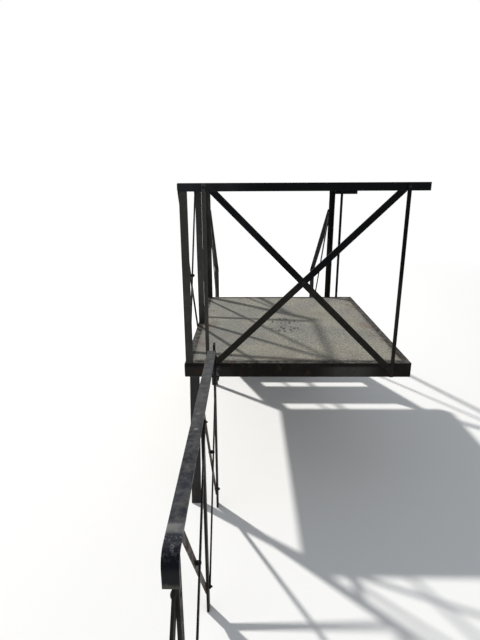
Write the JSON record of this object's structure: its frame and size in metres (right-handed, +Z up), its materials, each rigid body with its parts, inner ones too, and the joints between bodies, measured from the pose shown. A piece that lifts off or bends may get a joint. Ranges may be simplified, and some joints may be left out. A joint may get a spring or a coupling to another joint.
{
  "type": "fire escape stair",
  "caption": "Raised steel landing with a cement deck, X-braced guards, a short flight with handrails, and a low braced guard that runs on along an areaway.",
  "frame": {"origin": "middle of the wall ledger's back face, half-way up the landing's frame", "axes": "+X towards the house wall, +Y along the wall down the flight, +Z up"},
  "size_m": [1.17, 4.3893, 1.649],
  "materials": {
    "black_paint": "satin",
    "rusty_paint": "matte",
    "tread_paint": "matte",
    "cement": "matte"
  },
  "bodies": {
    "root": {"wall_ledger": "black_paint", "near_channel": "black_paint", "far_channel": "black_paint", "outer_channel": "black_paint", "deck_joists": "black_paint", "deck_slab": "cement", "near_top_rail": "black_paint", "near_post": "black_paint", "near_corner_post": "black_paint", "near_wall_bar": "black_paint", "near_brace_rising": "black_paint", "near_brace_falling": "black_paint", "left_top_rail": "black_paint", "left_mid_post": "black_paint", "left_far_post": "black_paint", "left_near_brace_rising": "black_paint", "left_near_brace_falling": "black_paint", "left_far_brace_rising": "black_paint", "left_far_brace_falling": "black_paint", "far_wall_post": "black_paint", "far_stub_rail": "black_paint", "far_stub_bar": "black_paint", "left_stringer": "black_paint", "right_stringer": "black_paint", "tread_1": "tread_paint", "tread_2": "tread_paint", "tread_3": "tread_paint", "left_handrail": "black_paint", "right_handrail": "black_paint", "left_newel": "black_paint", "right_newel": "black_paint", "left_stair_brace": "black_paint", "right_stair_brace": "black_paint", "near_leg": "black_paint", "far_leg": "black_paint", "areaway_top_rail": "black_paint", "areaway_far_post": "black_paint", "areaway_middle_post": "black_paint", "areaway_near_post": "black_paint", "areaway_far_brace_rising": "black_paint", "areaway_far_brace_falling": "rusty_paint", "areaway_near_brace_rising": "black_paint", "areaway_near_brace_falling": "rusty_paint", "areaway_end_stay": "black_paint", "areaway_tie": "black_paint"}
  },
  "joints": []
}
